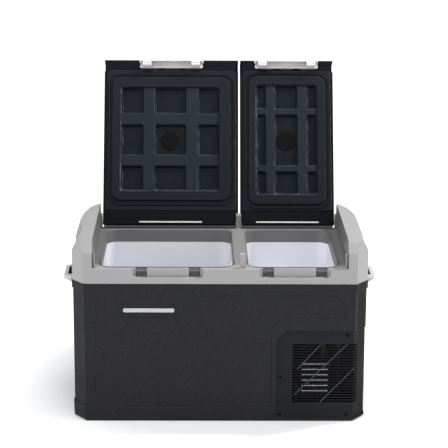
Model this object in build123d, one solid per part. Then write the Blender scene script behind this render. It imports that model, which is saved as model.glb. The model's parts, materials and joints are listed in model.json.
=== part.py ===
from build123d import *
from dataclasses import dataclass
import math
import os

os.makedirs("parts", exist_ok=True)

# A dual-zone compressor cooler: a chamfered plastic body with a pale collar and
# two side-by-side lids. Millimetres. X runs right, Y runs back, Z runs up; the
# front faces -Y and the origin is the middle of the flat underside.
# The lids are drawn closed and then turned to their open rest position.

# ---------------------------------------------------------------- dimensions
HALF_X = 340.0              # half width of the collar
HALF_Y = 215.0              # half depth of the collar
CORNER_X = 27.5             # corner chamfer across the width
CORNER_Y = 41.0             # corner chamfer along the depth
Z_SKIRT = 38.0              # top of the base band of the body
Z_BAND = 311.0              # underside of the thickened top band of the body
Z_COLLAR = 330.0            # underside of the collar
Z_RIM = 364.0               # deck of the collar, which the lids close on
WALL = 3.5                  # body wall at its thinnest
CAVITY = (331.0, 206.0)     # half size of the body cavity

TUB_Y = (-188.0, 186.0)     # both tub mouths, Y
TUB_CORNER = 30.0
SKIRT_Z = 333.0             # bottom of the collar's grey skirts, where the liners start

LID_X = {"left": (-287.5, 49.0), "right": (54.0, 287.5)}
LATCH_X = [(x0 + x1) / 2 for x0, x1 in LID_X.values()]    # each latch is centred on its lid

GUIDE_POST_X = (44.5, 57.5)     # guide post on the divider between the lids
GUIDE_Y = (-203.5, -194.0)      # guide post and ribs
GUIDE_TOP = 398.0
RIB_X = 286.5                   # innermost face of the guide rib beside each ear
HINGE_POST_X = (43.2, 55.4)     # shared hinge post between the lids at the back
HINGE_Y = 207.0                 # lid hinge axis, with the lid closed or open
HINGE_Z = 374.5
PIN_R = 2.5


@dataclass
class Tub:
    x: tuple            # left and right edges of the mouth
    floor: float
    coil_z: tuple       # heights of the evaporator rings
    divider_x: float    # the wall that faces the other tub
    toward: int         # X direction from that wall into the divider
    sensor_z: float


TUBS = {
    "left": Tub((-275.5, 30.5), 48.0, (120, 160, 200, 240), 30.5, 1, 250),
    "right": Tub((65.5, 271.0), 238.0, (262, 292), 65.5, -1, 277),
}


# ------------------------------------------------------------------- helpers
def box(x0, x1, y0, y1, z0, z1):
    """A block between two limits on each axis, given in either order."""
    size = Box(abs(x1 - x0), abs(y1 - y0), abs(z1 - z0))
    return Pos((x0 + x1) / 2, (y0 + y1) / 2, (z0 + z1) / 2) * size


def rod_x(x0, x1, y, z, r):
    return Pos((x0 + x1) / 2, y, z) * Rot(0, 90, 0) * Cylinder(r, abs(x1 - x0))


def rod_y(y0, y1, x, z, r):
    return Pos(x, (y0 + y1) / 2, z) * Rot(90, 0, 0) * Cylinder(r, abs(y1 - y0))


def rod_z(z0, z1, x, y, r):
    return Pos(x, y, (z0 + z1) / 2) * Cylinder(r, z1 - z0)


def round_prism(x0, x1, y0, y1, z0, z1, r):
    outline = Pos((x0 + x1) / 2, (y0 + y1) / 2) * RectangleRounded(x1 - x0, y1 - y0, r)
    return extrude(Plane.XY.offset(z0) * outline, amount=z1 - z0, dir=(0, 0, 1))


def polygon(points):
    return Wire.make_polygon([Vector(*p) for p in points], close=True)


def prism(points, along):
    return Part() + Solid.extrude(Face(polygon(points)), Vector(*along))


def prism_x(yz, x0, x1):
    return prism([(x0, y, z) for y, z in yz], (x1 - x0, 0, 0))


def prism_y(xz, y0, y1):
    return prism([(x, y0, z) for x, z in xz], (0, y1 - y0, 0))


def prism_z(xy, z0, z1):
    return prism([(x, y, z0) for x, y in xy], (0, 0, z1 - z0))


def ruled_loft(first, second):
    return Part() + Solid.make_loft([polygon(first), polygon(second)], ruled=True)


def octagon(half_x, half_y, inset=0.0):
    """Chamfered plan outline, offset `inset` inwards from the given half sizes."""
    run = math.hypot(CORNER_X, CORNER_Y)
    cut_x = CORNER_X - inset - inset * (CORNER_X - run) / CORNER_Y
    cut_y = ((CORNER_X - inset) * CORNER_Y + inset * run) / CORNER_X - inset
    hx, hy = half_x - inset, half_y - inset
    return [(-hx + cut_x, -hy), (hx - cut_x, -hy), (hx, -hy + cut_y), (hx, hy - cut_y),
            (hx - cut_x, hy), (-hx + cut_x, hy), (-hx, hy - cut_y), (-hx, -hy + cut_y)]


def octagon_prism(half_x, half_y, z0, z1, inset=0.0):
    return prism_z(octagon(half_x, half_y, inset), z0, z1)


def octagon_loft(z0, half0, z1, half1):
    return ruled_loft([(x, y, z0) for x, y in octagon(*half0)],
                      [(x, y, z1) for x, y in octagon(*half1)])


def ease(operation, shape, size, test):
    """Fillets or chamfers the edges that pass `test`."""
    # Guards against edges the kernel cannot work at this size: the shape stays sharp.
    try:
        edges = [e for e in shape.edges() if test(e)]
        return operation(edges, size) if edges else shape
    except Exception:
        return shape


def rounded(shape, radius, test):
    return ease(fillet, shape, radius, test)


def bevelled(shape, size, test):
    return ease(chamfer, shape, size, test)


def wholly_below(z):
    return lambda e: e.bounding_box().max.Z < z


def wholly_above(z):
    return lambda e: e.bounding_box().min.Z > z


def middle_above(z):
    return lambda e: e.center().Z > z


def lies_at(e, z, tolerance):
    bounds = e.bounding_box()
    return abs(bounds.min.Z - z) < tolerance and abs(bounds.max.Z - z) < tolerance


def joined(shapes):
    total = shapes[0]
    for shape in shapes[1:]:
        total = total + shape
    return total


def on_side(side, shape):
    """A shape drawn on the right, mirrored to the left when side is -1."""
    return shape if side > 0 else mirror(shape, Plane.YZ)


def tube(points, r, bend):
    path = FilletPolyline(*points, radius=bend)
    plane = Plane(origin=path @ 0, z_dir=path % 0)
    return sweep(plane * Circle(r), path=path)


def save(name, shape):
    """Writes one piece, which may be a shape or a list of shapes."""
    if hasattr(shape, "solids"):
        solids = shape.solids()
    else:
        solids = [s for part in shape for s in part.solids()]
    out = solids[0] if len(solids) == 1 else Compound(children=list(solids))
    export_step(out, "parts/" + name + ".step")


# ----------------------------------------------------------------- the body
# Bottom Z, half size there, top Z, half size there.
BODY_BANDS = [
    (0, (334.0, 205.0), 5, (338.0, 209.3)),
    (5, (338.0, 209.3), Z_SKIRT, (339.0, 210.2)),
    (Z_SKIRT, (336.5, 210.2), Z_BAND, (338.4, 213.4)),
    (Z_BAND, (341.0, 213.4), Z_COLLAR, (341.0, 214.0)),
]
# Outlines on the front face, (X, Z).
PRESSED_PANEL = [(-289, 60), (-258, 33), (119, 33), (119, 222), (143, 246), (289, 246),
                 (289, 279), (262, 303), (-260, 303), (-289, 279)]
BADGE_TAB = [(-262, 305), (-262, 262), (-253, 253), (-96, 253), (-69, 280), (-44, 305)]
PRESS_DEPTH = 1.5

VENT_L = 131.0              # left edge of the vent cover
VENT_TOP = 217.0
VENT_BOTTOM = 9.0
VENT_BACK = 118.0           # how far the cover runs back along the right side
VENT_CORNER = 22.0          # cut across the cover's top left corner
COVER_SKIN = 3.0            # vent cover thickness
GAP = 0.8                   # shut line round the vent cover
FEET = [(x, y) for y in (-160, 160) for x in (-285, 285)]
HANDLE_SCREWS = [(side, y) for side in (-1, 1) for y in (-60, 60)]
HANDLE_SCREW_Z = 301
COVER_SCREWS = [(139, 17), (139, 108), (293, 208), (293, 17)]      # X, Z on the front
SIDE_SCREWS = [(-60, 17), (60, 17), (-60, 209), (60, 209)]         # Y, Z on the right
PILOT_R = 1.6


def body_form():
    """Outer form: chamfered foot, base band, drafted middle and a wider top band."""
    return joined([octagon_loft(*band) for band in BODY_BANDS])


def wrap_zone(left, right, bottom, top, corner, front_y, side_x, side_y):
    """Zone over part of the front, the right corner chamfer and the right side."""
    outline = [(left, bottom), (right, bottom), (right, top), (left + corner, top),
               (left, top - corner)]
    return prism_y(outline, *front_y) + box(side_x, right, *side_y, bottom, top)


def outer_shell():
    form = body_form()
    cavity = octagon_prism(CAVITY[0] + WALL, CAVITY[1] + WALL, 3.2, 345.0, WALL)
    lip = octagon_prism(334.4, 209.4, Z_COLLAR - 6, 334.5) - cavity
    shell = (form - cavity) + lip
    # Shallow panel pressed into the front, with a raised tab behind the badge.
    press = prism_y(PRESSED_PANEL, -220, -200) - prism_y(BADGE_TAB, -221, -199)
    shell -= (form - Pos(0, PRESS_DEPTH, 0) * form) & press
    # rebate that the vent cover sits in, and the window behind it
    rebate = wrap_zone(VENT_L - GAP, 352, VENT_BOTTOM - GAP, VENT_TOP + GAP,
                       VENT_CORNER + GAP / 2, (-231, -149), 319, (-161, VENT_BACK + GAP))
    shell -= rebate - octagon_prism(337.0, 210.0, -5, 400, COVER_SKIN + 0.2)
    shell -= wrap_zone(VENT_L + 14, 352, 24, VENT_TOP - 14, 16, (-232, -185),
                       318, (-188, VENT_BACK - 12))
    for x, y in FEET:
        shell -= rod_z(-1, 2.6, x, y, 15.0)
    # Rear inlet plate opening and a low exhaust grille in the back wall.
    shell -= box(150, 222, 195, 225, 60, 96)
    for k in range(9):
        shell -= box(240, 318, 195, 225, 50 + 12 * k, 55 + 12 * k)
    # Pilot holes for the handle screws and the vent cover screws.
    for side, y in HANDLE_SCREWS:
        shell -= rod_x(side * 325, side * 345, y, HANDLE_SCREW_Z, PILOT_R)
    for x, z in COVER_SCREWS:
        shell -= rod_y(-216, -198, x, z, PILOT_R)
    for y, z in SIDE_SCREWS:
        shell -= rod_x(322, 341, y, z, PILOT_R)
    return shell


save("outer_shell", outer_shell())
# Foot pads sit flush in their shallow round pockets.
save("rubber_feet", [rod_z(0, 2.5, x, y, 14.8) for x, y in FEET])

# ------------------------------------------------------------ vent cover
SLOT_COUNT = 22
SLOT_PITCH = 6.45
SLOT = 3.7                  # height of one slot
SLOTS_LOW = 47.0
SLOTS_HIGH = SLOTS_LOW + (SLOT_COUNT - 1) * SLOT_PITCH + SLOT
# Ends of the diagonal ribs that brace the front slats, (X, Z).
RIB_ENDS = [((171, 63), (293, SLOTS_HIGH)), ((232, SLOTS_LOW), (312, 131)),
            ((179, 126), (232, SLOTS_HIGH))]
RIB_HALF = 1.0              # half width of a diagonal rib
SHANK_CLEAR_R = 2.3
HEAD_CLEAR_R = 4.4


def vent_cover():
    """Cover that wraps from the front over the right corner and along the side."""
    form = octagon_loft(-1, (335.9, 209.2), 240, (336.2, 209.8))
    zone = wrap_zone(VENT_L, 350, VENT_BOTTOM, VENT_TOP, VENT_CORNER, (-230, -150),
                     320, (-160, VENT_BACK))
    cover = (form - octagon_prism(337.0, 210.0, -5, 400, COVER_SKIN + 0.12)) & zone
    for k in range(SLOT_COUNT):
        z = SLOTS_LOW + k * SLOT_PITCH
        cover -= box(167, 317, -225, -190, z, z + SLOT)
        cover -= box(325, 345, -118, 26, z, z + SLOT)
    for (xa, za), (xb, zb) in RIB_ENDS:
        run = math.hypot(xb - xa, zb - za)
        nx, nz = -(zb - za) / run * RIB_HALF, (xb - xa) / run * RIB_HALF
        outline = [(xa + nx, za + nz), (xb + nx, zb + nz), (xb - nx, zb - nz), (xa - nx, za - nz)]
        cover += prism_y(outline, -209.4, -207.2) & form
    for x, z in COVER_SCREWS:
        cover -= rod_y(-225, -190, x, z, SHANK_CLEAR_R) + rod_y(-225, -207.6, x, z, HEAD_CLEAR_R)
    for y, z in SIDE_SCREWS:
        cover -= rod_x(320, 350, y, z, SHANK_CLEAR_R) + rod_x(334.4, 350, y, z, HEAD_CLEAR_R)
    return cover


save("vent_cover", vent_cover())


# ---------------------------------------------------------------- body screws
def screw(axis, across, z, seat, out):
    """Pan-head screw on the x or y axis with a cross recess; `out` is the head's direction."""
    rod = rod_x if axis == "x" else rod_y
    body = rod(seat, seat - out * 7.0, across, z, 1.5)
    body += rod(seat, seat + out * 1.6, across, z, 3.8)
    depth = (seat + out * 0.8, seat + out * 2.0)
    for half_wide, half_tall in ((2.2, 0.4), (0.4, 2.2)):
        width = (across - half_wide, across + half_wide)
        x_span, y_span = (depth, width) if axis == "x" else (width, depth)
        body -= box(*x_span, *y_span, z - half_tall, z + half_tall)
    return body


def body_screws():
    screws = [screw("y", x, z, -207.65, -1) for x, z in COVER_SCREWS]
    screws += [screw("x", y, z, 334.45, 1) for y, z in SIDE_SCREWS]
    screws += [screw("x", y, HANDLE_SCREW_Z, side * 341.55, side) for side, y in HANDLE_SCREWS]
    return screws


save("body_screws", body_screws())

# ------------------------------------------------------------ carry handles
HANDLE_X = 368.0            # outer edge of each carry handle
HANDLE_Z = (294.0, 308.0)
HANDLE_BASE = 338.5         # face that meets the body
PLATE = 4.0                 # thickness of the mounting plate


def handle(side):
    base, low, high = HANDLE_BASE, *HANDLE_Z
    outer = [(base, -64), (HANDLE_X - 6, -52), (HANDLE_X, -46),
             (HANDLE_X, 46), (HANDLE_X - 6, 52), (base, 64)]
    inner = [(base + PLATE, -42), (HANDLE_X - 9, -36), (HANDLE_X - 9, 36), (base + PLATE, 42)]
    grip = prism_z(outer, low, high) - prism_z(inner, low - 1, high + 1)
    # the underside slopes up towards the outer edge
    grip -= prism_y([(base + 3, low - 2), (HANDLE_X + 2, low - 2), (HANDLE_X + 2, low + 5)],
                    -70, 70)
    grip += box(base, base + PLATE, -72, 72, 288, 310.5)
    for y in (-60, 60):
        grip -= (rod_x(base - 5, base + 20, y, HANDLE_SCREW_Z, 2.0)
                 + rod_x(base + 3.0, base + 30, y, HANDLE_SCREW_Z, 4.6))
    return on_side(side, grip)


def grip_pad(side):
    """Lining round the inside of the handle's opening."""
    base, low, high = 342.4, *HANDLE_Z
    pad = prism_z([(base + 0.2, -41.6), (HANDLE_X - 9.2, -35.6),
                   (HANDLE_X - 9.2, 35.6), (base + 0.2, 41.6)], low + 4, high - 0.6)
    pad -= prism_z([(base + 2.2, -38.5), (HANDLE_X - 11.4, -33),
                    (HANDLE_X - 11.4, 33), (base + 2.2, 38.5)], low + 6, high + 3)
    return on_side(side, pad)


save("handle_right", handle(1))
save("handle_left", handle(-1))
save("handle_grips", [grip_pad(1), grip_pad(-1)])

# ------------------------------------------------------------ badge
BADGE = [(-222, 264.6), (-220, 262.6), (-107, 262.6), (-105, 264.6),      # X, Z
         (-105, 269.8), (-107, 271.8), (-220, 271.8), (-222, 269.8)]
save("badge_plate", prism_y(BADGE, -214.15, -212.95) - body_form())

# ------------------------------------------------------------ collar
COLLAR_WALL = 4.0
SKIRT_WALL = 2.5            # wall of the skirt round each tub mouth
Z_EAR_FACE = 401.0          # top of the upright front face of each ear
Z_EAR = 426.0               # top of each ear
EAR_IN = 292.5              # inner face of each ear
EAR_SET = 13.0              # how far the front slope of each ear runs back
EAR_TOP = 328.0             # outer edge of the flat top of each ear
EAR_WALL = 4.5
SCOOP_Y = (-146, -40)       # full-depth length of the finger scallop
SCOOP_RUN_OUT = 18
POST_TOP = 401.0            # top of the hinge post and lugs
HINGE_PROFILE = [(199, Z_RIM - 3), (199, 396), (202, POST_TOP),           # Y, Z
                 (209, POST_TOP), (213, 396), (213, Z_RIM - 3)]
# Where the ear's top narrows over a long slanted corner at the back, (X, Y).
EAR_BACK_EDGE = [(329, 88), (325, 110), (316, 162), (302, 194), (284, 219)]

RECESS_HALF = 80.5          # half width of a latch recess
RECESS_LOW = 343.0
HOOK_X = 61.0               # hooks either side of the latch's middle

PANEL_Y = (-150.0, -95.0)   # control panel in the outer face of the right ear
PANEL_Z = (368.5, 395.5)


def panel_box(x0, x1, inset):
    """A block of the control panel's outline, drawn in by `inset` all round."""
    return box(x0, x1, PANEL_Y[0] + inset, PANEL_Y[1] - inset,
               PANEL_Z[0] + inset, PANEL_Z[1] - inset)


def collar_ring():
    """The collar's deck, wall, tub skirts and latch blocks."""
    ring = octagon_prism(HALF_X, HALF_Y, Z_COLLAR, Z_RIM)
    ring -= octagon_prism(HALF_X, HALF_Y, Z_COLLAR - 1, Z_RIM - 5, COLLAR_WALL)
    for tub in TUBS.values():
        ring += round_prism(tub.x[0] - SKIRT_WALL, tub.x[1] + SKIRT_WALL,
                            TUB_Y[0] - SKIRT_WALL, TUB_Y[1] + SKIRT_WALL,
                            SKIRT_Z, Z_RIM - 2, TUB_CORNER + SKIRT_WALL)
    for x in LATCH_X:
        ring += box(x - 86, x + 86, -211, -187, 336, Z_RIM - 2)
    for tub in TUBS.values():
        ring -= round_prism(*tub.x, *TUB_Y, Z_COLLAR - 2, Z_RIM + 2, TUB_CORNER)
    return rounded(ring, 2.0, lambda e: lies_at(e, Z_RIM, 0.01)
                   and abs(e.center().Y) < 190 and abs(e.center().X) < 280)


def ear_block():
    """Outside of the right ear, before it is hollowed."""
    block = prism_x([(-HALF_Y, Z_RIM - 1), (-HALF_Y, Z_EAR_FACE), (-HALF_Y + EAR_SET, Z_EAR),
                     (HALF_Y - 7, Z_EAR), (HALF_Y, Z_EAR - 9), (HALF_Y, Z_RIM - 1)],
                    EAR_IN, HALF_X)
    block &= octagon_prism(HALF_X, HALF_Y, Z_RIM - 2, Z_EAR + 2)
    # long outer bevel, deepened by a finger scallop ahead of mid length
    side, top = HALF_X + 1, Z_EAR + 1
    block -= prism_y([(side, Z_EAR_FACE - 4), (side, top), (EAR_TOP - 0.5, top),
                      (HALF_X - 0.01, Z_EAR_FACE - 2)], -HALF_Y - 1, HALF_Y + 1)
    deep = [(side, 386), (side, top), (EAR_TOP - 6.5, top)]
    shallow = [(side, Z_EAR_FACE - 2), (side, top), (EAR_TOP, top)]
    block -= prism_y(deep, *SCOOP_Y)
    for near, tip in ((SCOOP_Y[0], SCOOP_Y[0] - SCOOP_RUN_OUT),
                      (SCOOP_Y[1], SCOOP_Y[1] + SCOOP_RUN_OUT)):
        block -= ruled_loft([(x, near, z) for x, z in deep], [(x, tip, z) for x, z in shallow])
    rings = []
    for shift, z in ((13.5, Z_EAR_FACE - 4), (-0.5, top)):
        edge = [(x + shift, y, z) for x, y in EAR_BACK_EDGE]
        rings.append(edge + [(370, 219, z), (370, 88, z)])
    return block - ruled_loft(*rings)


def ear(side):
    hollow = prism_y([(EAR_IN + 4, Z_RIM - 7), (HALF_X - EAR_WALL, Z_RIM - 7),
                      (HALF_X - EAR_WALL, 376), (316, 396), (306, 412), (EAR_IN + 4, 412)],
                     -HALF_Y + 16, HALF_Y - 34)
    hollow &= octagon_prism(HALF_X, HALF_Y, Z_RIM - 8, Z_EAR, EAR_WALL)
    hollow &= prism_x([(-HALF_Y + 10, Z_RIM - 8), (-HALF_Y + 10, 392), (-HALF_Y + 28, 415),
                       (HALF_Y - 46, 415), (HALF_Y - 34, 400), (HALF_Y - 34, Z_RIM - 8)],
                      EAR_IN, HALF_X)
    body = ear_block() - hollow
    # guide rib for the lid, standing off the ear's inner face with a slot behind it
    body += (box(RIB_X, RIB_X + 3, *GUIDE_Y, Z_RIM - 1, GUIDE_TOP)
             + box(289.0, EAR_IN + 0.5, -197, GUIDE_Y[1], Z_RIM - 1, GUIDE_TOP))
    # hinge lug standing out from the ear's inner face
    body += prism_x(HINGE_PROFILE, 288.3, EAR_IN + 0.5)
    # strip of deck under the ear
    body += (box(EAR_IN - 0.01, HALF_X, -HALF_Y, HALF_Y, Z_RIM - 4, Z_RIM)
             & octagon_prism(HALF_X, HALF_Y, Z_RIM - 5, Z_RIM + 1))
    body -= hollow
    return on_side(side, body)


def ear_well(side):
    """Opening through the deck below an ear's hollow."""
    opening = (box(EAR_IN + 4, HALF_X - EAR_WALL, -HALF_Y + 16, HALF_Y - 34, Z_RIM - 8, Z_RIM + 1)
               & octagon_prism(HALF_X, HALF_Y, Z_RIM - 9, Z_RIM + 2, EAR_WALL))
    return on_side(side, opening)


def collar_frame():
    collar = collar_ring()
    for side in (1, -1):
        collar -= ear_well(side)
        collar += ear(side)
    post = box(*GUIDE_POST_X, *GUIDE_Y, Z_RIM - 2, GUIDE_TOP)
    collar += bevelled(post, 1.5, middle_above(GUIDE_TOP - 0.1))
    # hinge post, and the pin bores in it and in both lugs
    collar += prism_x(HINGE_PROFILE, *HINGE_POST_X)
    collar -= rod_x(HINGE_POST_X[0] - 1, HINGE_POST_X[1] + 1, HINGE_Y, HINGE_Z, PIN_R + 0.06)
    for side in (-1, 1):
        collar -= rod_x(side * 287.0, side * 294.5, HINGE_Y, HINGE_Z, PIN_R + 0.06)
    # latch recesses in the front face, with two deeper hook pockets each
    for x in LATCH_X:
        left, right, low = x - RECESS_HALF, x + RECESS_HALF, RECESS_LOW
        collar -= prism_y([(left, Z_RIM + 1), (left, low + 6), (left + 6, low),
                           (right - 6, low), (right, low + 6), (right, Z_RIM + 1)],
                          -HALF_Y - 1, -HALF_Y + 10.5)
        for side in (-1, 1):
            hook = x + side * HOOK_X
            collar -= box(hook - 13, hook + 13, -HALF_Y + 9, -HALF_Y + 23.2, low, Z_RIM + 1)
            # bar across the pocket that the hook catches
            collar += box(hook - 13.5, hook + 13.5, -HALF_Y + 20.6, -HALF_Y + 23.5, 353.5, 356.5)
    return collar - panel_box(317, HALF_X + 1, 3)


save("collar_frame", collar_frame())

# ------------------------------------------------------------ control panel
LENS_Y = (PANEL_Y[0] + 7, PANEL_Y[1] - 24)
LENS_Z = (PANEL_Z[0] + 8, PANEL_Z[1] - 6)
LENS_GAP = 0.15
BUTTONS = {
    "button_power": (PANEL_Y[1] - 17.5, 388.0),
    "button_set": (PANEL_Y[1] - 9.0, 388.0),
    "button_up": (PANEL_Y[1] - 17.5, 377.0),
    "button_down": (PANEL_Y[1] - 9.0, 377.0),
}


def control_bezel():
    bezel = panel_box(HALF_X, HALF_X + 2.0, 0)
    bezel = bevelled(bezel, 0.9, lambda e: e.center().X > HALF_X + 1.9)
    bezel += panel_box(HALF_X - 6, HALF_X, 3.4)
    bezel -= panel_box(HALF_X - 7, HALF_X - 1.5, 5.4)
    bezel -= box(HALF_X + 0.6, HALF_X + 3, *LENS_Y, *LENS_Z)
    for y, z in BUTTONS.values():
        bezel -= rod_x(HALF_X - 8, HALF_X + 3, y, z, 3.25)
    return bezel


def display_lens():
    return box(HALF_X + 0.65, HALF_X + 1.9, LENS_Y[0] + LENS_GAP, LENS_Y[1] - LENS_GAP,
               LENS_Z[0] + LENS_GAP, LENS_Z[1] - LENS_GAP)


def button(y, z):
    cap = rod_x(HALF_X - 3.4, HALF_X + 2.7, y, z, 3.1)
    cap += rod_x(HALF_X - 4.2, HALF_X - 3.0, y, z, 3.1)
    return rounded(cap, 0.5, lambda e: e.center().X > HALF_X + 2.6)


def control_board():
    """Circuit board with a block on each face and a switch behind each button."""
    board = panel_box(328.5, 330.1, 6)
    board += (box(324.5, 328.5, PANEL_Y[0] + 10, PANEL_Y[0] + 22, 374, 388)
              + box(330.1, 338.3, PANEL_Y[0] + 9, PANEL_Y[0] + 26, 377.5, 388.5))
    for y, z in BUTTONS.values():
        board += (box(330.1, 333.6, y - 3, y + 3, z - 3, z + 3)
                  + rod_x(333.6, 334.9, y, z, 1.5))
    return board


save("control_bezel", control_bezel())
save("display_lens", display_lens())
for button_name, place in BUTTONS.items():
    save(button_name, button(*place))
save("control_board", control_board())

# ------------------------------------------------------------ liners and foam
LINER = 2.0                 # liner wall
LINER_TOP = SKIRT_Z - 0.4
SENSOR_Y = 60
COIL_R = 3.0                # half the square section of an evaporator ring
COIL_OFF = LINER + 3.4      # ring centre line outside the tub mouth
FOAM_CLEAR = 0.3
CHANNEL = COIL_R + 0.4      # half size of the foam channel round a ring
BAY_LEFT = 127.0            # machine bay under the right tub
BAY_FRONT = -204.0
BAY_TOP = 212.0


def around_tub(tub, grow, z0, z1, corner):
    """Rounded prism standing `grow` outside the tub mouth."""
    return round_prism(tub.x[0] - grow, tub.x[1] + grow, TUB_Y[0] - grow, TUB_Y[1] + grow,
                       z0, z1, corner)


def liner(tub):
    low = tub.floor - LINER
    outside = around_tub(tub, LINER, low, LINER_TOP, TUB_CORNER + LINER)
    outside = rounded(outside, 16.0, wholly_below(low + 0.01))
    hollow = around_tub(tub, 0, tub.floor, SKIRT_Z + 5, TUB_CORNER)
    hollow = rounded(hollow, 14.0, wholly_below(tub.floor + 0.01))
    flange = around_tub(tub, 7, SKIRT_Z - 2.4, LINER_TOP, TUB_CORNER + 7)
    # sensor hole and lamp slot in the wall next to the divider
    wall = (tub.divider_x - tub.toward * 1, tub.divider_x + tub.toward * 6)
    return (outside + flange - hollow - rod_x(*wall, SENSOR_Y, tub.sensor_z, 3.2)
            - box(*wall, -24, 24, 306, 318))


def evaporator(tub):
    """Flat tube rings clamped round a tub, joined by risers at the back."""
    rings = []
    for z in tub.coil_z:
        inner, outer = COIL_OFF - COIL_R, COIL_OFF + COIL_R
        rings.append(around_tub(tub, outer, z - COIL_R, z + COIL_R, TUB_CORNER + outer)
                     - around_tub(tub, inner, z - COIL_R - 1, z + COIL_R + 1, TUB_CORNER + inner))
    coil = joined(rings)
    middle, back = sum(tub.x) / 2, TUB_Y[1] + COIL_OFF
    for low, high in zip(tub.coil_z, tub.coil_z[1:]):
        coil += box(middle - COIL_R, middle + COIL_R, back - COIL_R, back + COIL_R, low, high)
    return coil


def insulation_foam():
    foam = octagon_prism(CAVITY[0] + WALL, CAVITY[1] + WALL, 3.8, 326.0, WALL + 0.6)
    foam -= box(BAY_LEFT - 6, 400, BAY_FRONT - 20, 400, -10, BAY_TOP)
    for tub in TUBS.values():
        foam -= around_tub(tub, LINER + FOAM_CLEAR, tub.floor - LINER - FOAM_CLEAR, 340,
                           TUB_CORNER + LINER)
    # channels for the evaporator rings and risers
    for tub in TUBS.values():
        for z in tub.coil_z:
            foam -= around_tub(tub, COIL_OFF + CHANNEL, z - CHANNEL, z + CHANNEL,
                               TUB_CORNER + COIL_OFF)
        middle = sum(tub.x) / 2
        foam -= box(middle - CHANNEL, middle + CHANNEL, TUB_Y[1], TUB_Y[1] + COIL_OFF + CHANNEL,
                    tub.coil_z[0], tub.coil_z[-1])
    # handle screw pilots, then the lamp and sensor pockets in the divider
    for side, y in HANDLE_SCREWS:
        foam -= rod_x(side * 315, side * 335, y, HANDLE_SCREW_Z, 2.2)
    divider = [tub.divider_x for tub in TUBS.values()]
    foam -= box(*divider, -26, 26, 300, 322)
    foam -= joined([rod_x(*divider, SENSOR_Y, tub.sensor_z, 4.0) for tub in TUBS.values()])
    return max(foam.solids(), key=lambda s: s.volume)


def interior_lamp(tub):
    face, toward = tub.divider_x, tub.toward
    return (box(face - toward * 1.0, face + toward * 5.0, -23.8, 23.8, 306.2, 317.8)
            + box(face - toward * 1.6, face - toward * 0.01, -27, 27, 303.5, 320.5))


def temperature_sensor(tub):
    face, toward, z = tub.divider_x, tub.toward, tub.sensor_z
    return (rod_x(face - toward * 3.5, face + toward * 12.0, SENSOR_Y, z, 3.0)
            + rod_x(face - toward * 2.5, face - toward * 0.01, SENSOR_Y, z, 5.5))


for tub_name, each_tub in TUBS.items():
    save("liner_" + tub_name, liner(each_tub))
    save("evaporator_" + tub_name, evaporator(each_tub))
save("insulation_foam", insulation_foam())
save("interior_lamps", [interior_lamp(tub) for tub in TUBS.values()])
save("temperature_sensors", [temperature_sensor(tub) for tub in TUBS.values()])

# ------------------------------------------------------------ compressor
COMP_X = 222.0
COMP_Y = 100.0
COMP_R = 62.0
COMP_WALL = 2.6
GROMMETS = [(COMP_X + 52 * math.cos(math.radians(a)), COMP_Y + 52 * math.sin(math.radians(a)))
            for a in (90, 210, 330)]


def comp_rod(z0, z1, r):
    """Upright cylinder on the compressor's axis."""
    return rod_z(z0, z1, COMP_X, COMP_Y, r)


def compressor_bracket():
    bracket = (box(140, 318, 20, 182, 4.05, 6.05) + box(140, 318, 20, 22, 4.05, 16)
               + box(140, 318, 180, 182, 4.05, 16))
    for x, y in GROMMETS:
        bracket -= rod_z(0, 20, x, y, 3.4)
    return bracket


def compressor_lower_shell():
    shell = rounded(comp_rod(24, 84, COMP_R), 22.0, wholly_below(24.1))
    shell -= rounded(comp_rod(26.6, 90, COMP_R - COMP_WALL), 19.5, wholly_below(26.7))
    # foot flange and the ring that joins it to the bowl
    shell += comp_rod(18, 20.5, COMP_R + 1) - comp_rod(17, 21, 40)
    shell += comp_rod(20, 26, 44) - comp_rod(19, 27.4, 40)
    for x, y in GROMMETS:
        shell -= rod_z(17, 21, x, y, 3.4)
    return shell


def compressor_upper_shell():
    shell = rounded(comp_rod(84.05, 148, COMP_R), 26.0, wholly_above(147.9))
    shell -= rounded(comp_rod(80, 144.5, COMP_R - COMP_WALL), 24.0, wholly_above(144.4))
    shell += comp_rod(84.05, 88, COMP_R + 3) - comp_rod(83, 89, COMP_R - 1)
    # holes for the discharge and suction lines
    shell -= (rod_y(COMP_Y - 66, COMP_Y - 50, COMP_X - 20, 104, 3.05)
              + rod_x(COMP_X - 66, COMP_X - 50, COMP_Y, 110, 4.05))
    return shell


def compressor_stator():
    stator = comp_rod(44, 80, 46) - comp_rod(43, 81, 24)
    for k in range(6):
        a = math.radians(60 * k + 30)
        stator += rod_z(38, 86, COMP_X + 35 * math.cos(a), COMP_Y + 35 * math.sin(a), 7)
    return stator


def compressor_rotor():
    """Rotor ring, web and shaft, with an off-centre crank pin on top."""
    rotor = comp_rod(46, 78, 23.2) - comp_rod(45, 79, 14)
    rotor += comp_rod(56, 62, 15) + comp_rod(34, 116, 6.0)
    rotor += comp_rod(116, 122, 10) + rod_z(122, 130, COMP_X + 4, COMP_Y, 4.5)
    return rotor


def compressor_pump_block():
    pump = comp_rod(92, 112, 36) - comp_rod(91, 113, 6.06)
    pump += (box(COMP_X - 52, COMP_X - 28, COMP_Y - 14, COMP_Y + 14, 98, 126)
             - box(COMP_X - 60, COMP_X - 30, COMP_Y - 30, COMP_Y - 14.1, 90, 130))
    pump -= rod_x(COMP_X - 60, COMP_X - 31, COMP_Y, 118, 9)
    return pump & comp_rod(80, 140, 55)


save("compressor_bracket", compressor_bracket())
save("compressor_grommets",
     [rod_z(6.1, 17.9, x, y, 7.5) - rod_z(5, 20, x, y, 3.0) for x, y in GROMMETS])
save("compressor_lower_shell", compressor_lower_shell())
save("compressor_upper_shell", compressor_upper_shell())
save("compressor_stator", compressor_stator())
save("compressor_rotor", compressor_rotor())
save("compressor_pump_block", compressor_pump_block())

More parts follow.
